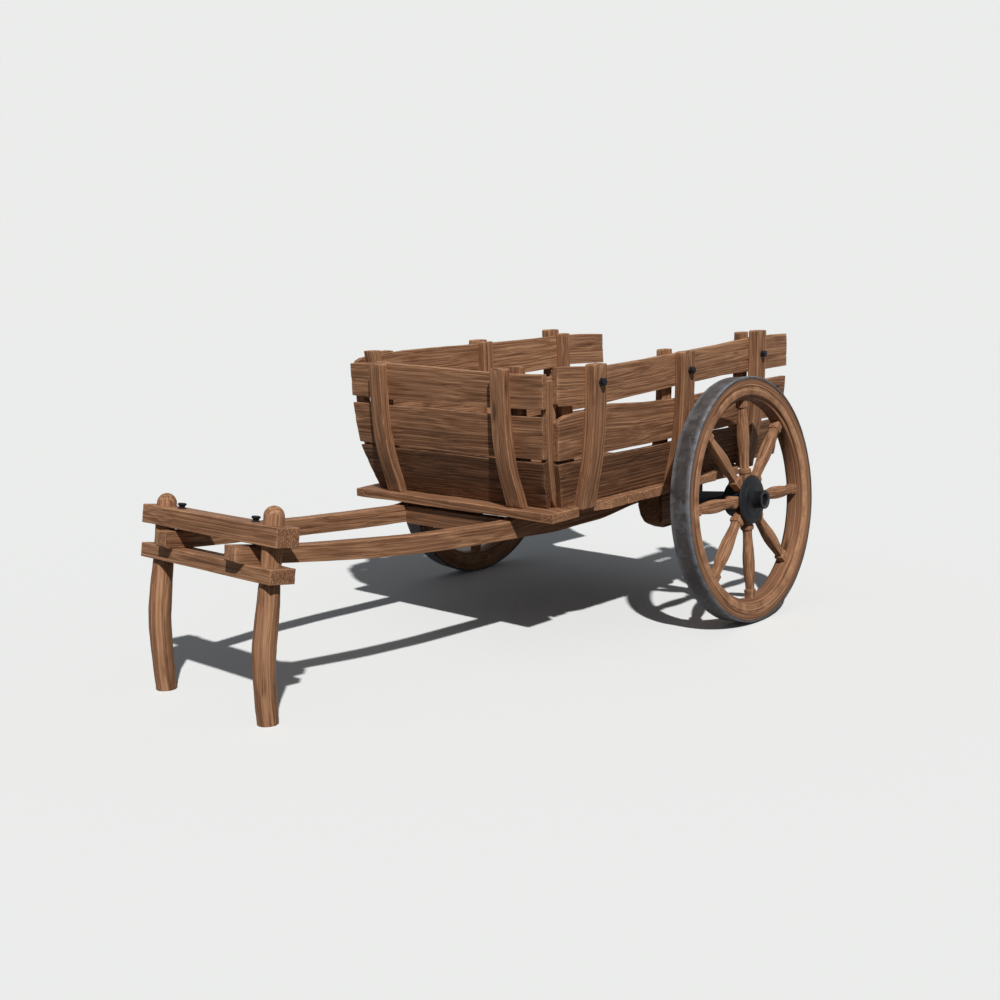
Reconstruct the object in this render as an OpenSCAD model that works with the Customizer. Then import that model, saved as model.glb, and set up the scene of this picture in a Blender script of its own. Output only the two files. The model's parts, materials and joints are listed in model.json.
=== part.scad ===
// Two-wheeled wooden farm cart: stave-sided tub on a plank deck, two shafts,
// and a yoke frame on two prop legs. Millimetres, +X toward the yoke, +Y left, +Z up.
// The origin is on the ground, under the middle of the cart.

/* [Overall] */
// Distance from the axle to the front tips of the shafts
shaft_reach = 2555; // [2190:5:3060]
// Distance from the axle to the front edge of the deck
deck_front = 1184; // [980:1:1425]
// Distance from the axle to the tail end of the side boards
tail_reach = 835; // [690:1:1010]
// Width of the deck
deck_w = 1220; // [1010:10:1470]
// Height of the side walls above the deck
wall_h = 640; // [530:5:770]
// Slope of the tub down toward the shafts, in degrees
pitch = 2; // [1:0.1:3]

/* [Timber] */
// Thickness of the deck planks
deck_t = 42; // [34:1:52]
// Thickness of the wall boards
board_t = 28; // [22:1:36]
// Thickness of the stakes that clamp the boards
stake_t = 52; // [42:1:64]
// Width of the stakes
stake_w = 90; // [74:1:110]
// Width of the shaft timbers
rail_w = 64; // [54:1:78]
// Gap left between neighbouring deck planks
plank_gap = 5; // [3:0.5:8]

/* [Wheels] */
// Outer radius of the iron tyres
wheel_r = 590; // [490:5:710]
// Width of the tyres
tyre_w = 102; // [84:1:124]
// Thickness of the tyres
tyre_t = 12; // [8:1:16]
// Radial depth of the wooden rims
rim_d = 96; // [78:1:118]
// Lean of the wheel tops toward the tub, in degrees
camber = 4.9; // [4:0.1:6]
// Spokes in each wheel
spoke_count = 8; // [7:1:10]
// Radius of the axle arms inside the hubs
arm_r = 27; // [22:0.5:33]

/* [Yoke] */
// Length of the upper yoke bar
yoke_w = 834; // [700:2:1000]
// Radius of the prop legs where they pass through the bars
leg_r = 38; // [32:0.5:45]
// Lean of the yoke frame, in degrees
yoke_tilt = 7; // [5:0.5:9]

/* [Hidden] */
$fn = 48;
seat = 0.3;
run_fit = 0.05;
big = 5000;

axle_x = (tail_reach + 4 - shaft_reach) / 2;
axle_z = wheel_r * cos(camber) + tyre_w / 2 * sin(camber);
wheel_y = deck_w / 2 + 249;

// Heights in the tub frame, measured up from the axle line
deck_bot = 48;
deck_top = deck_bot + deck_t;
wall = wall_h / 640;
low_z = [deck_top + seat, deck_top + 200 * wall];
mid_z = [deck_top + 218 * wall, deck_top + 418 * wall];
top_z = [deck_top + 456 * wall, deck_top + 640 * wall];
front_low_z = [deck_top + seat, deck_top + 212 * wall];
front_mid_z = [deck_top + 226 * wall, deck_top + 412 * wall];
front_top_z = [deck_top + 440 * wall, deck_top + 612 * wall];

// Outward flare of the walls at heights above the deck, as [height, side, front]
flare = [
    [0, 0, 0],
    [100, 26, 42],
    [203, 46, 76],
    [320, 59, 94],
    [424, 66, 101],
    [540, 69, 104],
    [740, 70, 105]];
side_y = deck_w / 2 - 57;
front_x = deck_front - 80;
rail_y = deck_w / 2 - 280;
block_y = rail_y + rail_w / 2;
block_w = 138;
block_out = block_y + seat + block_w;

deck_rear = -0.38 * deck_front;

// Stakes of the left side, then of the right, from the front: place along the cart and rise above the wall
stake_x = [
    [deck_front - 262, deck_front * 0.18, deck_rear - 20],
    [deck_front - 254, deck_front * 0.192, deck_rear + 50]];
stake_up = [[-22, -11, 56], [7, 26, 52]];
inner_x = [
    [deck_front - 200, deck_front * 0.232, deck_rear + 20],
    [deck_front - 200, deck_front * 0.209, deck_rear + 36]];
inner_up = [[-40, 2, 49], [18, 18, 30]];
function of_side(s, v) = v[s > 0 ? 0 : 1];
front_stake_y = deck_w * 0.305;
front_stake_w = 76;
bolt_r = 7;
bolt_z = top_z[0] + 0.5 * (top_z[1] - top_z[0]);
bolt_up = [-7, -7, 29];
tail_bolt_z = mid_z[0] + 160 * wall;

// Six deck planks: front edges as fractions of the deck length, then the tail
cuts = [0, 0.142, 0.342, 0.51, 0.66, 0.816, 1];
deck_len = deck_front - deck_rear;
function cut(i) = deck_front - cuts[i] * deck_len;

// Yoke frame origin: middle of the lower bar
yoke_x = shaft_reach - 92.5;
yoke_z = axle_z - 38;
low_bar = [113, 56];
high_bar = [102, 73];
bar_gap = 77;
shaft_h = 65;
leg_y = yoke_w / 2 - 86;
leg_up = [36, 17];
yoke_bolt_y = yoke_w / 2 - 188;

rim_out = wheel_r - tyre_t - seat;
rim_in = rim_out - rim_d;
hub_r = 88;
spoke_z = 24;

// Frames -------------------------------------------------------------------

module in_axle() {
    translate([axle_x, 0, axle_z]) children();
}

module in_tub() {
    in_axle() rotate([0, pitch, 0]) children();
}

module in_yoke() {
    translate([axle_x + yoke_x, 0, yoke_z]) rotate([0, -yoke_tilt, 0]) children();
}

module on_side(s) {
    mirror([0, s < 0 ? 1 : 0, 0]) children();
}

module in_wheel(s) {
    on_side(s) translate([axle_x, wheel_y, axle_z]) rotate([camber - 90, 0, 0]) children();
}

// A slab cut to an outline seen from the side, running across from y0 to y1
module side_cut(outline, y0, y1) {
    translate([0, y1, 0]) rotate([90, 0, 0]) linear_extrude(y1 - y0) polygon(outline);
}

// A slab cut to an outline seen from the front, running along from x0 to x1
module front_cut(outline, x0, x1) {
    translate([x0, 0, 0]) rotate([90, 0, 90]) linear_extrude(x1 - x0) polygon(outline);
}

// Walls --------------------------------------------------------------------

function wall_pts(k, base, off) = [for (f = flare) [base + f[k] + off, deck_top + f[0] * wall]];
function band(k, base, a, b) = concat(wall_pts(k, base, a), reverse(wall_pts(k, base, b)));
function reverse(v) = [for (i = [len(v) - 1:-1:0]) v[i]];
function flare_at(k, h) = lookup(h, [for (f = flare) [f[0] * wall, f[k]]]);

// Outer face of the side boards is at offset 0; outer face of the front boards likewise
module side_band(a, b, x0, x1) {
    front_cut(band(1, side_y, a, b), x0, x1);
}

module front_band(a, b, y0, y1) {
    side_cut(band(2, front_x, a, b), y0, y1);
}

// Front end of a side board follows the slope of the front wall
function board_nose(z) = front_x + flare_at(2, z - deck_top) - board_t - 26;

// Rise and fall of a hand-cut edge, spread evenly from the nose to the tail
function wavy(x0, x1, z, d) = [for (i = [0:len(d) - 1]) [x0 + (x1 - x0) * i / (len(d) - 1), z + d[i]]];

module side_board(s, z, lower, upper) {
    tail = -tail_reach;
    in_tub() on_side(s) intersection() {
        side_band(-board_t, 0, tail - 60, deck_front + 200);
        side_cut(concat(
            wavy(board_nose(z[0]), tail - 6, z[0], lower),
            reverse(wavy(board_nose(z[1]), tail, z[1], upper))), 0, big);
    }
}

module front_board(z, lower, upper) {
    e0 = side_y + flare_at(1, z[0] - deck_top) - board_t - 10;
    e1 = side_y + flare_at(1, z[1] - deck_top) - board_t - 10;
    in_tub() intersection() {
        front_band(-board_t, 0, -big, big);
        front_cut(concat(
            wavy(-e0 - 5, e0, z[0], lower),
            reverse(wavy(-e1 - 3, e1, z[1], upper))), 0, big);
    }
}

module outer_stake(s, i) {
    x = of_side(s, stake_x)[i];
    w = stake_w / 2;
    z1 = top_z[1] + of_side(s, stake_up)[i];
    in_tub() on_side(s) difference() {
        intersection() {
            front_cut(stake_section(), x - 100, x + 100);
            side_cut([
                [x - w * 1.12, deck_top - 16],
                [x + w * 1.12, deck_top - 16],
                [x + w * 1.02, deck_top + 230 * wall],
                [x + w, z1 - 6],
                [x + w * 0.9, z1],
                [x - w * 0.9, z1],
                [x - w, z1 - 6],
                [x - w * 1.02, deck_top + 230 * wall]], 0, big);
        }
        translate([x, 0, bolt_z + bolt_up[i]]) rotate([-90, 0, 0])
            cylinder(r = bolt_r + seat, h = big);
    }
}

function stake_section() = concat(
    [[side_y + seat, deck_top - 16]],
    wall_pts(1, side_y, seat),
    [[side_y + 70 + seat, deck_top + 740 * wall], [side_y + 70 + stake_t, deck_top + 740 * wall]],
    reverse(wall_pts(1, side_y, stake_t)),
    [[side_y + stake_t, deck_top - 16]]);

module inner_stake(s, i) {
    x = of_side(s, inner_x)[i];
    w = stake_w * 0.42;
    z1 = top_z[1] + of_side(s, inner_up)[i];
    t = [90, 4, -6][i];
    in_tub() on_side(s) intersection() {
        side_band(-board_t - seat - stake_t * 0.8, -board_t - seat, x - 150, x + 200);
        side_cut([
            [x - w, deck_top + seat],
            [x + w, deck_top + seat],
            [x + t + w * 0.95, z1 - 5],
            [x + t + w * 0.85, z1],
            [x + t - w * 0.85, z1],
            [x + t - w * 0.95, z1 - 5]], 0, big);
    }
}

module front_stake(s) {
    y = front_stake_y;
    w = front_stake_w / 2;
    z1 = front_top_z[1] - 2;
    in_tub() on_side(s) intersection() {
        front_band(seat, stake_t * 0.92, 0, big);
        front_cut([
            [y - w * 1.1, deck_top + seat],
            [y + w * 1.1, deck_top + seat],
            [y + w, deck_top + 300 * wall],
            [y + w * 0.96, z1 - 6],
            [y + w * 0.84, z1],
            [y - w * 0.84, z1],
            [y - w * 0.96, z1 - 6],
            [y - w, deck_top + 300 * wall]], 0, big);
    }
}

module front_inner_stake(s) {
    y = front_stake_y + 34;
    w = front_stake_w * 0.42;
    z1 = front_top_z[1] + 4;
    in_tub() on_side(s) intersection() {
        front_band(-board_t - seat - stake_t * 0.75, -board_t - seat, 0, big);
        front_cut([
            [y - w, deck_top + seat],
            [y + w, deck_top + seat],
            [y + w, z1 - 6],
            [y + w * 0.85, z1],
            [y - w * 0.85, z1],
            [y - w, z1 - 6]], 0, big);
    }
}

module corner_post(s) {
    in_tub() on_side(s) intersection() {
        front_band(-board_t - seat - 50, -board_t - seat, 0, big);
        side_band(-board_t - seat - 44, -board_t - seat, 0, big);
        translate([0, 0, deck_top + seat]) cube([big, big, 560 * wall]);
    }
}

module board_bolts() {
    in_tub() for (s = [-1, 1]) on_side(s) {
        for (i = [0:2])
            translate([of_side(s, stake_x)[i], side_y + 70, bolt_z + bolt_up[i]])
                rotate([-90, 0, 0]) bolt(stake_t + 2);
        translate([120 - tail_reach, side_y + flare_at(1, tail_bolt_z - deck_top) + 1.2, tail_bolt_z])
            rotate([-90, 0, 0]) bolt_head();
    }
}

// Bolt with a flared head, shank running inward from the seat at height h
module bolt(h) {
    translate([0, 0, 0.6]) cylinder(r = bolt_r, h = h);
    translate([0, 0, h]) bolt_head();
}

module bolt_head() {
    rotate_extrude() polygon([
        [0, seat],
        [17, seat],
        [17, 3],
        [11, 5],
        [12, 11],
        [17, 15],
        [17, 19],
        [13, 22],
        [0, 23]]);
}

// Deck and chassis ----------------------------------------------------------

module deck_plank(i) {
    x1 = cut(i - 1);
    x0 = cut(i) + (i == 6 ? 0 : plank_gap);
    half = deck_w / 2 - [0, 6, 2, 9, 3, 7][i - 1];
    half_b = deck_w / 2 - [2, 3, 8, 0, 7, 3][i - 1];
    drop = i == 1 ? 16 : 0;
    in_tub() difference() {
        side_cut([
            [x0, deck_bot],
            [x1, deck_bot],
            [x1, deck_top - drop],
            [x1 - 60, deck_top],
            [x0, deck_top]], -half_b, half);
        for (s = [-1, 1], x = of_side(s, stake_x)) on_side(s)
            translate([x - stake_w * 0.56 - 1, side_y - 0.5, deck_bot - 5])
                cube([stake_w * 1.12 + 2, 200, deck_t + 10]);
    }
}

// Tub frame height of a line as a height above the axle in the level frame
function level_z(x, z) = (z - x * sin(pitch)) / cos(pitch);

shaft_side = [
    [yoke_x + 91, level_front(28 + seat, 95)],
    [yoke_x - 82, level_front(28 + seat, -80)],
    [shaft_reach * 0.778, -52],
    [shaft_reach * 0.7, -67],
    [shaft_reach * 0.584, -82],
    [deck_front - 24, -91],
    [deck_front * 0.735, -102],
    [deck_front * 0.414, -87],
    [200, -46],
    [-190, -38],
    [-190, level_z(-190, deck_bot - seat)],
    [deck_front - 130, level_z(deck_front - 130, deck_bot - seat)],
    [deck_front - 24, -14],
    [shaft_reach * 0.584, -5],
    [shaft_reach * 0.7, 7],
    [shaft_reach * 0.778, 20],
    [yoke_x - 90, level_front(28 + shaft_h, -80)],
    [yoke_x + 83, level_front(28 + shaft_h, 95)]];

function level_front(z, x) = yoke_z - axle_z + x * sin(yoke_tilt) + z * cos(yoke_tilt);

shaft_line = [
    [shaft_reach + 20, yoke_bolt_y - 0.19 * 112],
    [yoke_x, yoke_bolt_y],
    [shaft_reach * 0.895, yoke_bolt_y + 33],
    [shaft_reach * 0.78, (yoke_bolt_y + 33) * 0.3 + rail_y * 0.7],
    [shaft_reach * 0.66, rail_y],
    [-191, rail_y]];

module shaft(s) {
    w = rail_w / 2;
    on_side(s) difference() {
        in_axle() intersection() {
            side_cut(shaft_side, 0, big);
            translate([0, 0, -1000]) linear_extrude(2000) polygon(concat(
                [for (p = shaft_line) [p[0], p[1] + w]],
                reverse([for (p = shaft_line) [p[0], p[1] - w]])));
        }
        in_yoke() translate([0, yoke_bolt_y, 0]) cylinder(r = bolt_r + seat, h = 300, center = true);
    }
}

module front_crossbar() {
    y = rail_y - rail_w / 2 - seat;
    in_axle() side_cut([
        [deck_front - 92, -94],
        [deck_front - 26, -94],
        [deck_front - 26, -16],
        [deck_front - 30, -12],
        [deck_front - 92, -12]], -y, y);
}

module axle_block(s) {
    in_tub() on_side(s) intersection() {
        side_cut([
            [-193, deck_bot - seat],
            [-193, -120],
            [-160, -156],
            [160, -156],
            [193, -130],
            [193, deck_bot - seat]], 0, big);
        front_cut([
            [block_y + seat, deck_bot - seat],
            [block_y + seat, -52],
            [block_y + 14, -100],
            [block_y + 44, -142],
            [block_y + 78, -156],
            [block_out - 8, -156],
            [block_out, -148],
            [block_out, deck_bot - seat]], -200, 200);
    }
}

module axle_tree() {
    y = rail_y - rail_w / 2 - seat;
    in_axle() translate([-38, -y, -42]) cube([76, y * 2, 76]);
}

module axle_arm(s) {
    on_side(s) intersection() {
        in_wheel(1) union() {
            translate([0, 0, -900]) cylinder(r = arm_r, h = 986);
            translate([0, 0, -900]) cylinder(r = arm_r + 10, h = 815);
            translate([0, 0, -97]) cylinder(r = arm_r + 26, h = 12);
        }
        in_axle() translate([-200, block_out + seat, -400]) cube([400, big, 800]);
    }
}

// Yoke frame ----------------------------------------------------------------

module yoke_bar(size, half, z, bow) {
    in_yoke() difference() {
        translate([-size[0] / 2, 0, z]) linear_extrude(size[1]) polygon([
            [0, -half],
            [0, half],
            [size[0], half],
            [size[0] + bow, half * 0.4],
            [size[0] + bow, -half * 0.4],
            [size[0], -half]]);
        for (s = [-1, 1]) on_side(s) {
            translate([0, leg_y, z - 10]) cylinder(r = leg_r + seat, h = size[1] + 20);
            translate([0, yoke_bolt_y, z - 10]) cylinder(r = bolt_r + seat, h = size[1] + 20);
        }
    }
}

module prop_leg(s) {
    tip = 28 + bar_gap + high_bar[1] + of_side(s, leg_up);
    on_side(s) intersection() {
        in_yoke() union() {
            translate([0, leg_y, -96]) cylinder(r = leg_r, h = tip + 96);
            translate([0, leg_y, tip]) cylinder(r1 = leg_r, r2 = leg_r * 0.5, h = 34);
            leg_piece([0, leg_y, -96], [4, leg_y - 4, -270], leg_r * 1.13, leg_r * 1.2);
            leg_piece([4, leg_y - 4, -270], [-18, leg_y - 8, -420], leg_r * 1.2, leg_r * 1.1);
            leg_piece([-18, leg_y - 8, -420], [-74, leg_y - 14, -700], leg_r * 1.1, leg_r * 0.96);
        }
        translate([-big, 0, 0]) cube([big * 2, big, big]);
    }
}

// Tapered round limb between two points with a ball at its start
module leg_piece(a, b, r1, r2) {
    d = b - a;
    n = norm(d);
    translate(a) sphere(r = r1 * 1.03);
    translate(a) rotate([0, acos(d[2] / n), atan2(d[1], d[0])]) cylinder(r1 = r1, r2 = r2, h = n);
}

module yoke_bolts() {
    in_yoke() for (s = [-1, 1]) on_side(s)
        translate([0, yoke_bolt_y, -34]) bolt(28 + bar_gap + high_bar[1] + 34);
}

// Wheels ---------------------------------------------------------------------

module tyre(s) {
    w = tyre_w / 2;
    in_wheel(s) rotate_extrude($fn = 96) polygon([
        [wheel_r - tyre_t, -w],
        [wheel_r - 3, -w],
        [wheel_r, -w + 3],
        [wheel_r, w - 3],
        [wheel_r - 3, w],
        [wheel_r - tyre_t, w]]);
}

module rim(s) {
    w = tyre_w / 2 - 3;
    in_wheel(s) rotate_extrude($fn = 96) polygon([
        [rim_out, -w],
        [rim_out, w],
        [rim_out - 34, w],
        [rim_out - 37, w - 3],
        [rim_out - 41, w - 3],
        [rim_out - 44, w],
        [rim_in + 22, w],
        [rim_in + 14, w - 6],
        [rim_in + 14, w - 14],
        [rim_in + 4, w - 16],
        [rim_in, w - 20],
        [rim_in, 20 - w],
        [rim_in + 4, 16 - w],
        [rim_in + 14, 14 - w],
        [rim_in + 14, 6 - w],
        [rim_in + 22, -w]]);
}

module spoke() {
    n = rim_in - hub_r;
    intersection() {
        union() {
            translate([-22, -24, hub_r + seat]) cube([44, 48, 50]);
            translate([-25, -27, hub_r + 44]) cube([50, 54, 14]);
            translate([-22, -25, rim_in - 40]) cube([44, 50, 60]);
            translate([0, 0, hub_r]) rotate_extrude() polygon([
                [0, 40],
                [18, 40],
                [19, 70],
                [28, n * 0.42],
                [28, n * 0.62],
                [20, n - 50],
                [19, n - 30],
                [0, n - 30]]);
        }
        rotate([0, 90, 0]) cylinder(r = rim_in - seat, h = 200, center = true, $fn = 96);
    }
}

module spokes(s) {
    in_wheel(s) for (i = [0:spoke_count - 1])
        rotate([0, 0, 90 + i * 360 / spoke_count]) rotate([0, 90, 0]) spoke();
}

module hub(s) {
    b = arm_r + run_fit;
    in_wheel(s) rotate_extrude() polygon([
        [b, -80],
        [76, -80],
        [84, -72],
        [hub_r, -60],
        [hub_r, 27],
        [112, 28],
        [118, 32],
        [116, 38],
        [64, 47],
        [46, 50],
        [42, 56],
        [41, 94],
        [45, 97],
        [45, 104],
        [36, 106],
        [b, 100]]);
}

// Assembly -------------------------------------------------------------------

wood = [0.45, 0.28, 0.17];
wood_light = [0.52, 0.34, 0.22];
wood_dark = [0.36, 0.22, 0.14];
iron = [0.12, 0.12, 0.13];
tyre_iron = [0.22, 0.22, 0.24];

color(wood_light) shaft(1);  // left_shaft
color(wood_light) shaft(-1);  // right_shaft
color(wood) front_crossbar();
color(wood_dark) axle_block(1);  // left_axle_block
color(wood_dark) axle_block(-1);  // right_axle_block
color(wood_dark) axle_tree();
color(iron) axle_arm(1);  // left_axle_arm
color(iron) axle_arm(-1);  // right_axle_arm
color(wood_light) deck_plank(1);  // deck_plank_1
color(wood) deck_plank(2);  // deck_plank_2
color(wood_light) deck_plank(3);  // deck_plank_3
color(wood) deck_plank(4);  // deck_plank_4
color(wood_light) deck_plank(5);  // deck_plank_5
color(wood) deck_plank(6);  // deck_plank_6
color(wood) yoke_bar(high_bar, yoke_w / 2, 28 + bar_gap, 6);  // yoke_upper_bar
color(wood) yoke_bar(low_bar, yoke_w / 2 - 15, -28, 0);  // yoke_lower_bar
color(wood_light) prop_leg(1);  // left_prop_leg
color(wood_light) prop_leg(-1);  // right_prop_leg
color(iron) yoke_bolts();
color(wood_dark)  // left_board_low
    side_board(1, low_z, [0, 5, 7, 4, 8, 10, 9], [-3, -1, -6, -3, 8, 2, 6]);
color(wood)  // left_board_middle
    side_board(1, mid_z, [2, 0, 1, 6, 4, 9, 7], [-20, 10, -10, -14, -3, 12, 14]);
color(wood_light)  // left_board_top
    side_board(1, top_z, [-2, -14, 3, 19, 32, 36, 37], [-26, -43, -35, -18, -3, 20, 19]);
color(wood_dark)  // right_board_low
    side_board(-1, low_z, [0, 8, 4, 7, 6, 12, 8], [-2, 2, -4, -6, 4, 6, 3]);
color(wood)  // right_board_middle
    side_board(-1, mid_z, [4, 2, -2, 4, 7, 5, 10], [-14, -4, -8, 4, 8, 6, 16]);
color(wood_light)  // right_board_top
    side_board(-1, top_z, [-4, 0, 2, 8, 16, 34, 24], [-20, 0, 4, 4, 7, 15, 5]);
color(wood_dark)  // front_board_low
    front_board(front_low_z, [0, 6, 3, 8, 2, 0], [2, 0, 3, -2, -4, 0]);
color(wood)  // front_board_middle
    front_board(front_mid_z, [6, 2, -2, -5, 0, 4], [6, 0, 5, -3, -8, -6]);
color(wood_light)  // front_board_top
    front_board(front_top_z, [14, 6, 2, -2, 0, 3], [-9, -2, -8, -19, -27, -26]);
color(wood_light) outer_stake(1, 0);  // left_stake_1
color(wood_light) outer_stake(1, 1);  // left_stake_2
color(wood_light) outer_stake(1, 2);  // left_stake_3
color(wood_light) outer_stake(-1, 0);  // right_stake_1
color(wood_light) outer_stake(-1, 1);  // right_stake_2
color(wood_light) outer_stake(-1, 2);  // right_stake_3
color(wood) inner_stake(1, 0);  // left_inner_stake_1
color(wood) inner_stake(1, 1);  // left_inner_stake_2
color(wood) inner_stake(1, 2);  // left_inner_stake_3
color(wood) inner_stake(-1, 0);  // right_inner_stake_1
color(wood) inner_stake(-1, 1);  // right_inner_stake_2
color(wood) inner_stake(-1, 2);  // right_inner_stake_3
color(wood_light) front_stake(1);  // left_front_stake
color(wood_light) front_stake(-1);  // right_front_stake
color(wood) front_inner_stake(1);  // left_front_inner_stake
color(wood) front_inner_stake(-1);  // right_front_inner_stake
color(wood_light) corner_post(1);  // left_corner_post
color(wood_light) corner_post(-1);  // right_corner_post
color(iron) board_bolts();
color(tyre_iron) tyre(1);  // left_tyre
color(wood_light) rim(1);  // left_rim
color(wood_light) spokes(1);  // left_spokes
color(iron) hub(1);  // left_hub
color(tyre_iron) tyre(-1);  // right_tyre
color(wood_light) rim(-1);  // right_rim
color(wood_light) spokes(-1);  // right_spokes
color(iron) hub(-1);  // right_hub
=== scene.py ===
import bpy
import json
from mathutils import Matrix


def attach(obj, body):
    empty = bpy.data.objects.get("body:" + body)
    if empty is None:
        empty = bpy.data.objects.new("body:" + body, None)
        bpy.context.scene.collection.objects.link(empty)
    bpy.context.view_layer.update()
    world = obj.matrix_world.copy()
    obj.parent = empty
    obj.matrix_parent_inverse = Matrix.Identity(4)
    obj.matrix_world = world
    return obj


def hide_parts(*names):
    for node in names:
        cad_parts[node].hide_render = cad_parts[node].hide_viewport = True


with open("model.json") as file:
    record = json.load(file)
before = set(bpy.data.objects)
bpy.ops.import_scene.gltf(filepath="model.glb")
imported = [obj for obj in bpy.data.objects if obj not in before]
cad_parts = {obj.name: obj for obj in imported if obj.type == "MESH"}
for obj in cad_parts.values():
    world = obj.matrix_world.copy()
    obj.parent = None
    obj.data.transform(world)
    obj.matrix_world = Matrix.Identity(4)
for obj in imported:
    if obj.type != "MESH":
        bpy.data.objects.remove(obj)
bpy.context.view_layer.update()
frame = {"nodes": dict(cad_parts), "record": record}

import json
import math

import bmesh
import bpy
import numpy as np
from mathutils import Matrix, Vector, noise
from mathutils.bvhtree import BVHTree

# Frames of the cart, from the record's wheel joint -----------------------------------------------

JOINTS = {j["name"]: j for j in frame["record"]["behaviour"]["joints"]}
AXLE = Vector(JOINTS["left_wheel_spin"]["pos_m"])
AXLE_X, WHEEL_Y, AXLE_Z = AXLE
CAMBER = math.atan2(*reversed(JOINTS["left_wheel_spin"]["axis"][1:]))

# The tub tips toward the shafts and the yoke leans back, in degrees. The yoke's place is taken from the axle.
TUB_TILT, YOKE_LEAN = 2, 7
YOKE_AHEAD, YOKE_BELOW = 2.4625, 0.038
TUB = Matrix.Translation((AXLE_X, 0, AXLE_Z)) @ Matrix.Rotation(math.radians(TUB_TILT), 4, "Y")
LEVEL = Matrix.Translation((AXLE_X, 0, AXLE_Z))
YOKE = (Matrix.Translation((AXLE_X + YOKE_AHEAD, 0, AXLE_Z - YOKE_BELOW))
        @ Matrix.Rotation(math.radians(-YOKE_LEAN), 4, "Y"))


def wheel_frame(side):
    turn = Matrix.Rotation(CAMBER - math.pi / 2, 4, "X")
    m = Matrix.Translation((AXLE_X, WHEEL_Y, AXLE_Z)) @ turn
    return m if side > 0 else Matrix.Diagonal((1, -1, 1, 1)) @ m


WHEEL_R, TYRE_W, TYRE_T, RIM_D = 0.590, 0.102, 0.012, 0.096

# Rounding of most timbers' edges, how fast the rings of a log taper, and the roughness of the wood
EDGE_R = 0.0032
RING_TAPER = 0.02
WOOD_ROUGH = 0.62


def n1(*p):
    return noise.noise(Vector(p))


# Meshes ------------------------------------------------------------------------------------------


def make(name, verts, faces, grain, edge, body, nodes, mat, matrix=None, tone=0.0, flip=False, crisp=0):
    """A closed mesh that stands for the named CAD nodes, with grain and edge-wear attributes."""
    if matrix is not None:
        verts = [matrix @ Vector(v) for v in verts]
        if matrix.determinant() < 0:
            flip = not flip
    if flip:
        faces = [tuple(reversed(f)) for f in faces]
    me = bpy.data.meshes.new(name)
    me.from_pydata([tuple(v) for v in verts], [], faces)
    me.update()
    g = me.attributes.new("grain", "FLOAT_VECTOR", "POINT")
    g.data.foreach_set("vector", np.asarray(grain, float).ravel())
    e = me.attributes.new("edge", "FLOAT", "POINT")
    e.data.foreach_set("value", np.asarray(edge, float))
    t = me.attributes.new("tone", "FLOAT", "POINT")
    t.data.foreach_set("value", np.full(len(verts), tone) if np.isscalar(tone) else np.asarray(tone, float))
    me.polygons.foreach_set("use_smooth", [True] * len(me.polygons))
    ob = bpy.data.objects.new(name, me)
    bpy.context.collection.objects.link(ob)
    me.materials.append(mat)
    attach(ob, body)
    if nodes:
        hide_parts(*nodes)
    if crisp:
        ob.data.set_sharp_from_angle(angle=math.radians(crisp))
    else:
        wn = ob.modifiers.new("faces", "WEIGHTED_NORMAL")
        wn.weight = 70
        wn.keep_sharp = True
    return ob


class Solid:
    """One CAD node seen from a local frame, for measuring its surface with rays."""

    def __init__(self, node, m):
        o = frame["nodes"][node]
        inv = m.inverted() @ o.matrix_world
        vs = [inv @ v.co for v in o.data.vertices]
        self.tree = BVHTree.FromPolygons(vs, [tuple(p.vertices) for p in o.data.polygons])
        a = np.array([tuple(v) for v in vs])
        self.lo, self.hi = a.min(0), a.max(0)

    def hit(self, p, axis, sign):
        """The outermost surface along an axis, looking inward from the given side."""
        q = list(p)
        q[axis] = (self.hi[axis] + 0.05) if sign > 0 else (self.lo[axis] - 0.05)
        d = [0.0, 0.0, 0.0]
        d[axis] = -sign
        loc = self.tree.ray_cast(Vector(q), Vector(d))[0]
        return None if loc is None else loc[axis]


def fill(v):
    """Replaces missing samples by their nearest neighbours."""
    v = np.array([np.nan if x is None else x for x in v], float)
    ok = ~np.isnan(v)
    if not ok.any():
        return v
    i = np.arange(len(v))
    return np.interp(i, i[ok], v[ok])


def smooth(v, n):
    for _ in range(n):
        w = v.copy()
        w[1:-1] = (v[:-2] + 2 * v[1:-1] + v[2:]) / 4
        v = w
    return v


def stations(length, r, step):
    """Positions along a length, close together in the rounded ends."""
    inner = max(2, round((length - 2 * r) / step) + 1)
    mid = np.linspace(r, length - r, inner)
    return np.concatenate([[0, 0.4 * r], mid, [length - 0.4 * r, length]])


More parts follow.
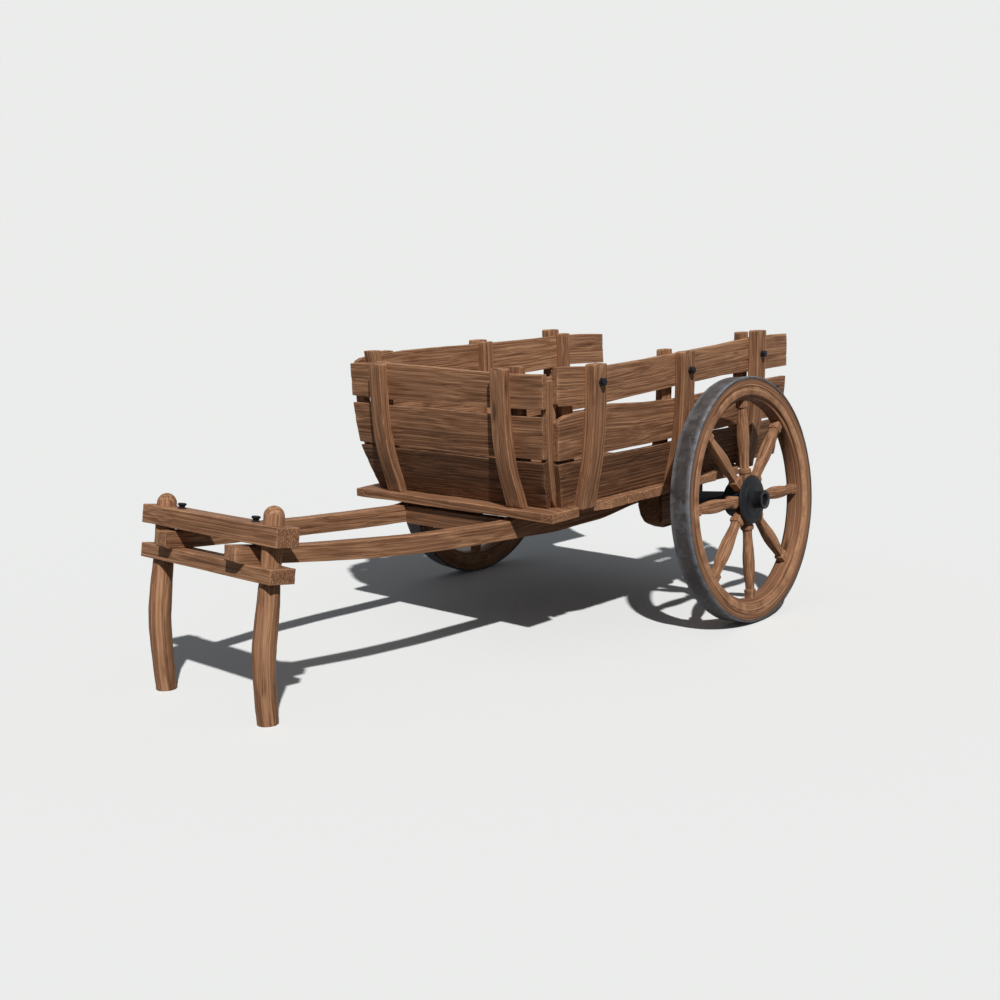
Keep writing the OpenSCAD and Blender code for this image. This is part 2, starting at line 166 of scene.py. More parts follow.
def beam(node, m, t, b, mat, slot, seed, r=0.003, step=(0.02, 0.016), soften=0,
         wave=0.003, swell=0.0012, tone=0.0, split=0.0, end=0.04, grow=0.0, shape=None):
    """A hand-cut timber measured from its CAD node, with its grain along axis t and its width along b."""
    s = Solid(node, m)
    a = 3 - t - b
    e = 0.0006
    length = s.hi[t] - s.lo[t]
    width = s.hi[b] - s.lo[b]
    tn = max(8, int(length / 0.012))
    ts = np.linspace(s.lo[t] + e, s.hi[t] - e, tn)
    probe = np.linspace(s.lo[a] + e, s.hi[a] - e, 7)

    def at(tv, bv, av):
        p = [0.0, 0.0, 0.0]
        p[t], p[b], p[a] = tv, bv, av
        return p

    def extreme(axis, points, sign):
        hits = [h for h in (s.hit(p, axis, sign) for p in points) if h is not None]
        return (max(hits) if sign > 0 else min(hits)) if hits else None

    b_hi = fill([extreme(b, [at(x, 0, v) for v in probe], 1) for x in ts])
    b_lo = fill([extreme(b, [at(x, 0, v) for v in probe], -1) for x in ts])
    # Beyond the last full section the edges run straight on, so a slanted end stays slanted
    n_end = max(2, int(round(end / (ts[1] - ts[0]))))
    for edge_line in (b_hi, b_lo):
        for k in range(n_end):
            edge_line[k] = edge_line[n_end] + (edge_line[n_end] - edge_line[n_end + 2]) / 2 * (n_end - k)
            run = (edge_line[-1 - n_end] - edge_line[-3 - n_end]) / 2
            edge_line[-1 - k] = edge_line[-1 - n_end] + run * (n_end - k)
    if soften:
        b_hi, b_lo = smooth(b_hi, soften), smooth(b_lo, soften)
    sb = stations(width, r, step[1])
    sb = sb / sb[-1]

    def end_at(y, sign):
        k = -1 - n_end if sign > 0 else n_end
        bv = b_lo[k] + e + (b_hi[k] - b_lo[k] - 2 * e) * y
        h, g = s.hit(at(ts[k], bv, 0), a, 1), s.hit(at(ts[k], bv, 0), a, -1)
        return None if h is None or g is None else s.hit(at(0, bv, (h + g) / 2), t, sign)

    t_hi = fill([end_at(y, 1) for y in sb])
    t_lo = fill([end_at(y, -1) for y in sb])
    st = stations(length, r, step[0])
    st = st / st[-1]
    nt, nb = len(st), len(sb)
    A_hi = np.zeros((nt, nb))
    A_lo = np.zeros((nt, nb))
    B = np.zeros((nt, nb))
    T = np.zeros((nt, nb))
    for i, x in enumerate(st):
        for j, y in enumerate(sb):
            T[i, j] = t_lo[j] + (t_hi[j] - t_lo[j]) * x
            lo = np.interp(T[i, j], ts, b_lo)
            hi = np.interp(T[i, j], ts, b_hi)
            B[i, j] = lo + (hi - lo) * y
            tv = t_lo[j] + e + (t_hi[j] - t_lo[j] - 2 * e) * x
            bv = lo + e + (hi - lo - 2 * e) * y
            h = s.hit(at(tv, bv, 0), a, 1)
            k = s.hit(at(tv, bv, 0), a, -1)
            A_hi[i, j] = np.nan if h is None else h
            A_lo[i, j] = np.nan if k is None else k
    for G in (A_hi, A_lo):
        for i in range(nt):
            row = G[i]
            if np.isnan(row).any() and not np.isnan(row).all():
                G[i] = fill([None if np.isnan(v) else v for v in row])
        for j in range(nb):
            col = G[:, j]
            if np.isnan(col).any():
                G[:, j] = fill([None if np.isnan(v) else v for v in col])
        if soften:
            for j in range(nb):
                G[:, j] = smooth(G[:, j], soften)
    thick = float(np.median(A_hi - A_lo))
    sa = stations(thick, min(r, thick * 0.3), step[1])
    sa = sa / sa[-1]
    na = len(sa)
    rng = np.random.RandomState(seed)
    off = rng.uniform(-40, 40, 3)
    ids, verts, grain, edge = {}, [], [], []
    pith = (rng.uniform(-0.05, 0.05), rng.choice([-1, 1]) * rng.uniform(0.05, 0.16))
    rr_max = min(r, thick * 0.3)

    def vert(i, j, k):
        key = (i, j, k)
        if key in ids:
            return ids[key]
        x, y, z = st[i], sb[j], sa[k]
        av = A_lo[i, j] + (A_hi[i, j] - A_lo[i, j]) * z
        q = [T[i, j], B[i, j], av]
        L = (length, width, thick)
        # Rounded and worn edges
        d = []
        for c, ln in zip((x, y, z), L):
            pos = c * ln
            d.append((pos, -1) if pos < ln / 2 else (ln - pos, 1))
        wear = 0.75 + 0.55 * n1(q[0] * 9 + off[0], q[1] * 9 + off[1], q[2] * 9 + seed)
        wear += 2.2 * max(0.0, n1(q[0] * 21 + off[0], q[1] * 21, q[2] * 21 + off[2]) - 0.30)
        rr = rr_max * min(1.6, max(0.3, wear))
        over = [max(0.0, rr - v) for v, _ in d]
        n = math.sqrt(sum(o * o for o in over))
        out = sum(1 for o in over if o > 1e-6) > 1
        if out and n > 1e-9:
            for c in range(3):
                q[c] += d[c][1] * (over[c] / n * rr - over[c])
        # Hand-cut waves on the edges and gentle swell on the faces
        side_b = (y - 0.5) * 2
        side_a = (z - 0.5) * 2
        tt = q[0]
        if wave:
            w = n1(tt * 3.1 + off[0], 5.3 * (1 if y > 0.5 else -1) + off[1], 2.0) * 1.0
            w += 0.25 * n1(tt * 11 + off[0], 9.1 * (1 if y > 0.5 else -1) + off[1], 4.0)
            q[1] += wave * w * side_b * abs(side_b) + grow * side_b
        if swell:
            w = n1(tt * 4.5 + off[0], q[1] * 9 + off[1], 3.0 * (1 if z > 0.5 else -1) + off[2])
            w += 0.4 * n1(tt * 16 + off[0], q[1] * 40 + off[1], 7.0 * (1 if z > 0.5 else -1))
            q[2] += swell * w * side_a
        end = (x - 0.5) * 2
        if abs(end) > 0.999:
            q[0] += 0.0016 * n1(q[1] * 60 + off[1], q[2] * 60 + off[2], end)
        if split:
            # Drying checks running in from the ends
            reach = max(0.0, 1 - min(x, 1 - x) * length / split)
            if reach > 0:
                c0 = n1(seed * 3.1, 7.7, 1.5 if end > 0 else -1.5) * width * 0.4
                gap = abs(B[i, j] - (s.lo[b] + s.hi[b]) / 2 - c0)
                if gap < step[1] * 0.55 and abs(side_a) > 0.9:
                    q[2] -= side_a * 0.006 * reach
        if shape:
            q = shape(*q)
        p = [0.0, 0.0, 0.0]
        p[t], p[b], p[a] = q
        ids[key] = len(verts)
        verts.append(p)
        mid = (A_lo[i, j] + A_hi[i, j]) / 2
        centre = np.interp(T[i, j], ts, (b_lo + b_hi) / 2)
        lean = RING_TAPER * (T[i, j] - s.lo[t] - length / 2)
        grain.append((T[i, j] + off[0], q[1] - centre + pith[0], q[2] - mid + pith[1] + lean))
        tight = sum(1 for v, _ in d if v < rr_max * 0.7)
        loose = sum(1 for v, _ in d if v < rr_max * 1.3)
        edge.append(1.0 if tight > 1 else (0.35 if loose > 1 else 0.0))
        return ids[key]

    faces = []
    for i in range(nt - 1):
        for j in range(nb - 1):
            faces.append((vert(i, j, na - 1), vert(i + 1, j, na - 1),
                          vert(i + 1, j + 1, na - 1), vert(i, j + 1, na - 1)))
            faces.append((vert(i, j, 0), vert(i, j + 1, 0), vert(i + 1, j + 1, 0), vert(i + 1, j, 0)))
        for k in range(na - 1):
            faces.append((vert(i, nb - 1, k), vert(i, nb - 1, k + 1),
                          vert(i + 1, nb - 1, k + 1), vert(i + 1, nb - 1, k)))
            faces.append((vert(i, 0, k), vert(i + 1, 0, k), vert(i + 1, 0, k + 1), vert(i, 0, k + 1)))
    for j in range(nb - 1):
        for k in range(na - 1):
            faces.append((vert(nt - 1, j, k), vert(nt - 1, j + 1, k),
                          vert(nt - 1, j + 1, k + 1), vert(nt - 1, j, k + 1)))
            faces.append((vert(0, j, k), vert(0, j, k + 1), vert(0, j + 1, k + 1), vert(0, j + 1, k)))
    flip = (t, b, a) not in ((0, 1, 2), (1, 2, 0), (2, 0, 1))
    return make("look_" + node, verts, faces, grain, edge, "cart", [node], mat, m, tone, flip)


def eased(node, m, t, b, mat, seed, r):
    """A faceted timber taken as its CAD node, with its corners eased and a rubbed border on each face."""
    o = frame["nodes"][node]
    a = 3 - t - b
    bm = bmesh.new()
    bm.from_mesh(o.data)
    bm.transform(m.inverted() @ o.matrix_world)
    bmesh.ops.remove_doubles(bm, verts=bm.verts, dist=0.00003)
    bmesh.ops.dissolve_limit(bm, angle_limit=math.radians(2), verts=bm.verts, edges=bm.edges)
    bmesh.ops.bevel(bm, geom=bm.edges[:], offset=r, offset_type="OFFSET", segments=2, profile=0.5,
                    affect="EDGES", clamp_overlap=True)
    big = [f for f in bm.faces if f.calc_area() > (4 * r) ** 2]
    border = {v.index for v in bm.verts}
    bmesh.ops.inset_individual(bm, faces=big, thickness=r * 1.2, use_even_offset=True)
    bm.verts.index_update()
    count = len(border)
    bmesh.ops.triangulate(bm, faces=bm.faces)
    verts = [tuple(v.co) for v in bm.verts]
    edge = [0.8 if v.index < count else 0.0 for v in bm.verts]
    off = np.random.RandomState(seed).uniform(-40, 40, 3)
    mid = [sum(v[k] for v in verts) / len(verts) for k in range(3)]
    grain = [(v[t] + off[0], v[b] - mid[b] + 0.02, v[a] - mid[a] + 0.09) for v in verts]
    faces = [tuple(v.index for v in f.verts) for f in bm.faces]
    bm.free()
    return make("look_" + node, verts, faces, grain, edge, "cart", [node], mat, m)


def rings(name, sections, n, m, mat, seed, body, nodes,
          tone=0.0, rough=0.001, offset=(0, 0), level=None):
    """A limb lofted along local z through sections of (centre, half x, half y, squareness)."""
    verts, grain, edge, faces = [], [], [], []
    rng = np.random.RandomState(seed)
    off = rng.uniform(-30, 30, 3)
    rows = len(sections)
    for i, (c, hx, hy, sq) in enumerate(sections):
        for k in range(n):
            a = 2 * math.pi * (k + 0.5) / n
            ca, sa = math.cos(a), math.sin(a)
            p = 2 + 6 * sq
            q = (abs(ca) ** p + abs(sa) ** p) ** (-1 / p)
            lumps = n1(ca * 2 + off[0], sa * 2 + off[1], c[2] * 9)
            lumps += 0.6 * n1(ca * 6, sa * 6 + off[2], c[2] * 25)
            f = 1 + rough / max(hx, 0.004) * lumps
            x, y = hx * q * ca * f, hy * q * sa * f
            verts.append((c[0] + x, c[1] + y, level(c[0] + x, c[2]) if level else c[2]))
            grain.append((c[2] + off[0], x + offset[0], y + offset[1]))
            edge.append(max(0.0, abs(ca * sa) * 2 - 0.75) * 3 * sq)
    for i in range(rows - 1):
        for k in range(n):
            l = (k + 1) % n
            faces.append((i * n + k, i * n + l, (i + 1) * n + l, (i + 1) * n + k))
    for i, up in ((0, False), (rows - 1, True)):
        c = sections[i][0]
        verts.append((c[0], c[1], level(c[0], c[2]) if level else c[2]))
        grain.append((c[2] + off[0], offset[0], offset[1]))
        edge.append(0.0)
        mid = len(verts) - 1
        for k in range(n):
            l = (k + 1) % n
            faces.append((mid, i * n + k, i * n + l) if up else (mid, i * n + l, i * n + k))
    return make(name, verts, faces, grain, edge, body, nodes, mat, m, tone, crisp=38)


def join(obs, name):
    """Several pieces of one body as one object."""
    bpy.ops.object.select_all(action="DESELECT")
    for o in obs:
        o.select_set(True)
    bpy.context.view_layer.objects.active = obs[0]
    bpy.ops.object.join()
    obs[0].name = name
    return obs[0]


def lathe(name, profile, n, m, mat, body, nodes, wood=False, worn=(), rough=0.0, seed=0):
    """A closed ring or round turned from (radius, height) points about local z."""
    verts, grain, edge, faces = [], [], [], []
    off = np.random.RandomState(seed).uniform(-9, 9, 3)
    rows = len(profile)
    for k in range(n):
        a = 2 * math.pi * k / n
        for i, (r, z) in enumerate(profile):
            lumps = n1(math.cos(a) * 5 + off[0], math.sin(a) * 5 + off[1], z * 30 + r * 20)
            lumps += 0.6 * n1(math.cos(a) * 21, math.sin(a) * 21, z * 60 + off[2])
            f = rough * lumps
            rr = r + (f if r > 0.001 else 0)
            verts.append((rr * math.cos(a), rr * math.sin(a), z + 0.5 * f))
            if wood:
                # The grain follows the ring, and meets itself out of sight at the seam
                grain.append((0.54 * min(a, 2 * math.pi - a), z + off[0], r + off[1]))
            else:
                grain.append((rr * math.cos(a) + off[0], rr * math.sin(a) + off[1], z))
            edge.append(1.0 if i in worn else 0.0)
    for k in range(n):
        l = (k + 1) % n
        for i in range(rows):
            j = (i + 1) % rows
            faces.append((k * rows + i, l * rows + i, l * rows + j, k * rows + j))
    return make(name, verts, faces, grain, edge, body, nodes, mat, m, 0.0, crisp=30)


# Materials ---------------------------------------------------------------------------------------


class Graph:
    """Short way to wire shader nodes."""

    def __init__(self, name):
        self.mat = bpy.data.materials.new(name)
        self.mat.use_nodes = True
        self.t = self.mat.node_tree
        self.bsdf = self.t.nodes["Principled BSDF"]

    def node(self, kind, **props):
        n = self.t.nodes.new(kind)
        for k, v in props.items():
            setattr(n, k, v)
        return n

    def put(self, sock, v):
        if hasattr(v, "node"):
            self.t.links.new(v, sock)
        else:
            sock.default_value = v

    def math(self, op, a, b=0.0):
        n = self.node("ShaderNodeMath", operation=op)
        self.put(n.inputs[0], a)
        self.put(n.inputs[1], b)
        return n.outputs[0]

    def combine(self, x, y, z):
        n = self.node("ShaderNodeCombineXYZ")
        for s, v in zip(n.inputs, (x, y, z)):
            self.put(s, v)
        return n.outputs[0]

    def stretch(self, u, v, w, along, across):
        scaled = [self.math("MULTIPLY", c, k) for c, k in ((u, along), (v, across), (w, across))]
        return self.combine(*scaled)

    def noise(self, vec, scale=1.0, detail=3.0, rough=0.55):
        n = self.node("ShaderNodeTexNoise")
        self.put(n.inputs["Vector"], vec)
        n.inputs["Scale"].default_value = scale
        n.inputs["Detail"].default_value = detail
        n.inputs["Roughness"].default_value = rough
        return n.outputs["Fac"]

    def ramp(self, fac, stops):
        n = self.node("ShaderNodeValToRGB")
        while len(n.color_ramp.elements) < len(stops):
            n.color_ramp.elements.new(0.5)
        for e, (p, c) in zip(n.color_ramp.elements, stops):
            e.position = p
            e.color = (*c, 1) if len(c) == 3 else c
        self.put(n.inputs["Fac"], fac)
        return n.outputs["Color"]

    def mix(self, fac, a, b):
        n = self.node("ShaderNodeMix", data_type="RGBA")
        n.clamp_factor = True
        self.put(n.inputs[0], fac)
        self.put(n.inputs[6], a)
        self.put(n.inputs[7], b)
        return n.outputs[2]

    def span(self, v, a, b, c=0.0, d=1.0):
        n = self.node("ShaderNodeMapRange")
        self.put(n.inputs[0], v)
        for s, x in zip(list(n.inputs)[1:5], (a, b, c, d)):
            s.default_value = x
        return n.outputs[0]

    def attr(self, name):
        return self.node("ShaderNodeAttribute", attribute_name=name)


def wood(name, dark, mid, light):
    g = Graph(name)
    a = g.attr("grain")
    sep = g.node("ShaderNodeSeparateXYZ")
    g.put(sep.inputs[0], a.outputs["Vector"])
    u, v, w = sep.outputs
    # Slow wander of the fibres along the piece
    wob = g.node("ShaderNodeTexNoise")
    g.put(wob.inputs["Vector"], g.stretch(u, v, w, 0.55, 2.2))
    wob.inputs["Detail"].default_value = 1.0
    ws = g.node("ShaderNodeSeparateXYZ")
    g.put(ws.inputs[0], wob.outputs["Color"])
    waves = g.noise(g.stretch(u, v, w, 3.0, 12.0), 1.0, 1.0)
    ripple = g.math("MULTIPLY", g.math("SUBTRACT", waves, 0.5), 0.004)

    def wandered(c, drift):
        bend = g.math("MULTIPLY", g.math("SUBTRACT", drift, 0.5), 0.017)
        return g.math("ADD", g.math("ADD", c, bend), ripple)

    v1 = wandered(v, ws.outputs[0])
    w1 = wandered(w, ws.outputs[1])
    # Knots push the rings aside
    vor = g.node("ShaderNodeTexVoronoi", feature="F1")
    g.put(vor.inputs["Vector"], g.stretch(u, v, w, 1.5, 5.5))
    vor.inputs["Scale"].default_value = 1.0
    near = g.span(vor.outputs["Distance"], 0.02, 0.25, 1.0, 0.0)
    push = g.math("MULTIPLY", g.math("POWER", near, 2.0), 0.015)
    r = g.math("SQRT", g.math("ADD", g.math("MULTIPLY", v1, v1), g.math("MULTIPLY", w1, w1)))
    r = g.math("ADD", r, push)
    fibre = g.noise(g.stretch(u, v, w, 5.0, 330.0), 1.0, 3.0, 0.6)
    streak = g.noise(g.stretch(u, v1, w1, 0.5, 105.0), 1.0, 3.0, 0.6)
    line = g.noise(g.stretch(u, v1, w1, 0.7, 230.0), 1.0, 2.0, 0.55)
    phase = g.math("ADD", g.math("MULTIPLY", r, 98.0), g.math("MULTIPLY", streak, 0.8))
    steps = ((0.0, 0.05), (0.35, 0.25), (0.72, 1.0), (0.9, 0.6), (1.0, 0.05))
    ring = g.ramp(g.math("FRACT", phase), [(at, (level,) * 3) for at, level in steps])
    tone_n = g.noise(g.stretch(u, v, w, 1.1, 9.0), 1.0, 2.0)
    f = g.math("ADD", g.math("MULTIPLY", ring, 0.17), g.math("MULTIPLY", g.span(streak, 0.3, 0.7), 0.36))
    f = g.math("ADD", f, g.math("MULTIPLY", g.span(line, 0.3, 0.7), 0.22))
    f = g.math("ADD", f, g.math("MULTIPLY", g.span(fibre, 0.3, 0.7), 0.20))
    f = g.math("ADD", f, g.math("MULTIPLY", g.math("SUBTRACT", tone_n, 0.5), 0.35))
    f = g.math("ADD", f, g.attr("tone").outputs["Fac"])
    col = g.ramp(f, [(0.16, dark), (0.46, mid), (0.80, light)])
    # Pale lines of early wood
    pale = g.span(line, 0.55, 0.66, 0.0, 0.55)
    col = g.mix(pale, col, (*light, 1))
    # Dark pores and cracks along the grain
    crack = g.noise(g.stretch(u, v1, w1, 1.8, 110.0), 1.0, 2.0, 0.5)
    crack = g.span(crack, 0.66, 0.74, 0.0, 1.0)
    col = g.mix(g.math("MULTIPLY", crack, 0.55), col, (dark[0] * 0.45, dark[1] * 0.45, dark[2] * 0.45, 1))
    heart = g.span(vor.outputs["Distance"], 0.03, 0.10, 1.0, 0.0)
    col = g.mix(g.math("MULTIPLY", heart, 0.75), col, (dark[0] * 0.55, dark[1] * 0.5, dark[2] * 0.5, 1))
    # Bleached, rubbed edges and dirt
    patches = g.span(g.noise(a.outputs["Vector"], 14.0, 4.0), 0.35, 0.65)
    rub = g.math("MULTIPLY", g.attr("edge").outputs["Fac"], patches)
    col = g.mix(g.math("MULTIPLY", rub, 0.55), col, (*[min(1, c * 1.35) for c in light], 1))
    dirt = g.noise(a.outputs["Vector"], 3.0, 5.0, 0.6)
    dirt = g.span(dirt, 0.52, 0.75, 0.0, 0.35)
    col = g.mix(dirt, col, (dark[0] * 0.8, dark[1] * 0.85, dark[2] * 0.9, 1))
    g.put(g.bsdf.inputs["Base Color"], col)
    g.put(g.bsdf.inputs["Roughness"], g.span(f, 0.1, 0.9, WOOD_ROUGH + 0.14, WOOD_ROUGH - 0.06))
    g.bsdf.inputs["Specular IOR Level"].default_value = 0.18
    h = g.math("ADD", g.math("MULTIPLY", ring, 0.35), g.math("MULTIPLY", streak, 0.8))
    h = g.math("ADD", h, g.math("MULTIPLY", fibre, 0.55))
    h = g.math("SUBTRACT", h, g.math("MULTIPLY", crack, 1.2))
    bump = g.node("ShaderNodeBump")
    bump.inputs["Strength"].default_value = 0.55
    bump.inputs["Distance"].default_value = 0.0016
    g.put(bump.inputs["Height"], h)
    g.put(g.bsdf.inputs["Normal"], bump.outputs[0])
    return g.mat


def metal(name, base, worn, rust, rough, metallic, mottling, scale, sheen=0.15, scuffs=0.0):
    g = Graph(name)
    a = g.attr("grain")
    n = g.noise(a.outputs["Vector"], scale, 6.0, 0.62)
    big = g.noise(a.outputs["Vector"], scale * 0.22, 4.0, 0.6)
    small_part = g.math("MULTIPLY", g.span(n, 0.3, 0.7), 0.6)
    big_part = g.math("MULTIPLY", g.span(big, 0.3, 0.7), 0.4)
    m = g.math("ADD", small_part, big_part)
    darker = [c * (1 - 0.6 * mottling) for c in base]
    lighter = [min(1, c * (1 + 1.1 * mottling)) for c in base]
    col = g.ramp(m, [(0.15, darker), (0.5, base), (0.85, lighter)])
    r = g.span(g.noise(a.outputs["Vector"], scale * 0.6, 5.0, 0.7), 0.6, 0.72, 0.0, 0.5)
    col = g.mix(r, col, (*rust, 1))
    if scuffs:
        # Paler scuffed patches and fine scratches
        patch = g.span(g.noise(a.outputs["Vector"], scale * 0.8, 5.0, 0.65), 0.54, 0.60, 0.0, scuffs)
        col = g.mix(patch, col, (*[0.62 * c for c in worn], 1))
    g.bsdf.inputs["Specular IOR Level"].default_value = sheen
    e = g.attr("edge").outputs["Fac"]
    rub = g.math("MULTIPLY", e, g.span(g.noise(a.outputs["Vector"], scale * 1.3, 4.0, 0.6), 0.3, 0.55))
    col = g.mix(rub, col, (*worn, 1))
    g.put(g.bsdf.inputs["Base Color"], col)
    g.bsdf.inputs["Metallic"].default_value = metallic
    g.put(g.bsdf.inputs["Roughness"], g.span(m, 0.1, 0.9, rough - 0.08, rough + 0.16))
    bump = g.node("ShaderNodeBump")
    bump.inputs["Strength"].default_value = 0.4
    bump.inputs["Distance"].default_value = 0.0015
    g.put(bump.inputs["Height"], n)
    g.put(g.bsdf.inputs["Normal"], bump.outputs[0])
    return g.mat


TIMBER = wood("timber", (0.075, 0.032, 0.016), (0.225, 0.107, 0.056), (0.50, 0.275, 0.155))
# A darker copy of the timber, put on the low boards of the tub and on the axle blocks, front crossbar and
# axle tree under the deck, where shade falls: painted shade.
SHADE_TIMBER = wood("shaded_timber", (0.052, 0.022, 0.011), (0.160, 0.074, 0.038), (0.36, 0.190, 0.105))
IRON = metal("black_iron", (0.012, 0.013, 0.016), (0.055, 0.058, 0.066), (0.018, 0.012, 0.010),
             0.52, 0.1, 0.4, 30.0)
TYRE = metal("tyre_iron", (0.072, 0.064, 0.064), (0.21, 0.215, 0.24), (0.035, 0.028, 0.026),
             0.55, 0.2, 0.6, 16.0, 0.2, 0.7)

# The timbers -------------------------------------------------------------------------------------

X, Y, Z = 0, 1, 2
seed = 11
# The low boards take the darker shaded copy of the timber, and the board tones step from darker at the bottom
# to lighter at the top: painted shade low on the wall and painted light on the top board.
for side in ("left", "right"):
    for i, part in enumerate(("low", "middle", "top")):
        seed += 1
        beam("%s_board_%s" % (side, part), TUB, X, Z, SHADE_TIMBER if part == "low" else TIMBER,
             "dark_timber" if part == "low" else "timber", seed, step=(0.024, 0.014), r=EDGE_R, end=0.09,
             wave=0.0025, grow=0.0032, tone=(-0.10, 0.0, 0.05)[i], split=0.16)
# As on the sides, the low front board takes the darker shaded copy of the timber and the tones step lighter
# toward the top: painted shade low down and painted light on the top board.
for i, part in enumerate(("low", "middle", "top")):
    seed += 1
    beam("front_board_" + part, TUB, Y, Z, SHADE_TIMBER if part == "low" else TIMBER,
         "dark_timber" if part == "low" else "timber", seed, step=(0.02, 0.014), r=EDGE_R, end=0.06,
         wave=0.003, grow=0.002, tone=(-0.12, -0.02, 0.04)[i], split=0.12)
STAKE = {"step": (0.02, 0.014), "r": EDGE_R}
for side in ("left", "right"):
    for i in (1, 2, 3):
        seed += 1
        beam("%s_stake_%d" % (side, i), TUB, Z, X, TIMBER, "timber", seed, soften=10,
             wave=0.004, tone=0.05 - 0.03 * (i % 2), split=0.05, **STAKE)
        beam("%s_inner_stake_%d" % (side, i), TUB, Z, X, TIMBER, "timber", seed + 50, soften=10,
             wave=0.003, tone=0.04, **STAKE)
    seed += 1
    beam("%s_front_stake" % side, TUB, Z, Y, TIMBER, "timber", seed, soften=10,
         wave=0.004, tone=0.04, split=0.05, **STAKE)
    beam("%s_front_inner_stake" % side, TUB, Z, Y, TIMBER, "timber", seed + 60, soften=8,
         wave=0.003, tone=0.02, **STAKE)
    beam("%s_corner_post" % side, TUB, Z, X, TIMBER, "timber", seed + 70, step=(0.02, 0.012), soften=2,
         tone=0.10)
front_plank = Solid("deck_plank_1", TUB)


def full_edge(y, x, z):
    """Brings the thinned front edge of the first plank most of the way back to its full thickness."""
    ridge = 0.016 * min(1.0, max(0.0, (x - front_plank.hi[X] + 0.060) / 0.060))
    part = (z - front_plank.lo[Z]) / (front_plank.hi[Z] - front_plank.lo[Z] - ridge)
    return y, x, z + 0.8 * ridge * part


for i in range(1, 7):
    seed += 1
    beam("deck_plank_%d" % i, TUB, Y, X, TIMBER, "timber", seed, step=(0.018, 0.018), r=EDGE_R, wave=0.0025,
         swell=0.0022, tone=(0.0, -0.04, 0.05)[i % 3], shape=full_edge if i == 1 else None)
for side in ("left", "right"):
    seed += 1
    beam("%s_shaft" % side, LEVEL, X, Z, TIMBER, "timber", seed, step=(0.024, 0.012), r=0.005, soften=14,
         wave=0.0025, swell=0.002, tone=0.03)
    # The axle blocks take the darker shaded copy of the timber: painted shade under the deck.
    eased("%s_axle_block" % side, TUB, X, Z, SHADE_TIMBER, seed + 40, r=0.006)
# The front crossbar and the axle tree take the darker shaded copy of the timber: painted shade under the
# deck.
beam("front_crossbar", LEVEL, Y, Z, SHADE_TIMBER, "dark_timber", 71, step=(0.02, 0.014), r=0.004)
beam("axle_tree", LEVEL, Y, Z, SHADE_TIMBER, "dark_timber", 72, step=(0.02, 0.014), r=0.004)
for bar, bar_seed, bar_tone in (("upper", 73, 0.02), ("lower", 74, 0.03)):
    beam("yoke_%s_bar" % bar, YOKE, Y, Z, TIMBER, "timber", bar_seed, step=(0.016, 0.012), r=0.0035,
         wave=0.0015, tone=bar_tone)

# Prop legs: crooked round poles with domed tops, cut level with the ground. A row of LEG is (height, shift
# along x, shift along y, radius), from the top down.
LEG = [(0.190, 0.0, 0.0, 0.038), (-0.028, 0.0, 0.0, 0.038), (-0.10, 0.0, 0.0, 0.0425),
       (-0.27, 0.004, -0.004, 0.0455), (-0.42, -0.018, -0.008, 0.0425), (-0.70, -0.074, -0.014, 0.0365)]
LEG_Y = 0.331
FOOT = -(AXLE_Z - YOKE_BELOW) / math.cos(math.radians(YOKE_LEAN)) + 0.0004
LEAN = math.tan(math.radians(YOKE_LEAN))
DOME = 0.0385

for side, name in ((1, "left"), (-1, "right")):
    tip = Solid(name + "_prop_leg", YOKE).hi[Z]
    zs = np.concatenate([np.arange(LEG[-1][0], tip - DOME, 0.008), np.linspace(tip - DOME, tip - 0.0002, 9)])
    rows = sorted(LEG)
    track = [np.interp(zs, [p[0] for p in rows], [p[k] for p in rows]) for k in (1, 2, 3)]
    for k in (0, 1, 2):
        track[k] = np.where(zs < -0.05, smooth(track[k], 70), track[k])
    sections = []
    for z, cx, cy, r in zip(zs, *track):
        if z < FOOT:
            continue
        cy = side * (LEG_Y + cy)
        dome = max(0.0, (z - tip + DOME) / DOME)
        r *= math.sqrt(max(0.02, 1 - dome * dome))
        body_part = min(1.0, max(0.0, (-0.04 - z) / 0.08))
        r *= 1 + body_part * (0.045 * n1(z * 5 + side * 9, side * 3, 1) + 0.02 * n1(z * 17, side * 5, 4))
        cx += body_part * 0.003 * n1(z * 3.5, side * 4, 8)
        sections.append(((cx, cy, z), r, r * (1 - 0.03 * body_part), 0.0))
    first = sections[0]
    sections[0] = ((first[0][0], first[0][1], FOOT), first[1], first[2], 0.0)
    sections.insert(1, ((first[0][0], first[0][1], FOOT + 0.003), first[1] * 1.03, first[2] * 1.03, 0.0))
    rings("look_%s_prop_leg" % name, sections, 36, YOKE, TIMBER, 80 + side, "cart",
          [name + "_prop_leg"], 0.07, 0.0015, (0.012, 0.02),
          lambda x, z: z - x * LEAN * min(1.0, max(0.0, (-0.38 - z) / 0.17)))

# Wheels ------------------------------------------------------------------------------------------

rim_out = WHEEL_R - TYRE_T - 0.0003
rim_in = rim_out - RIM_D


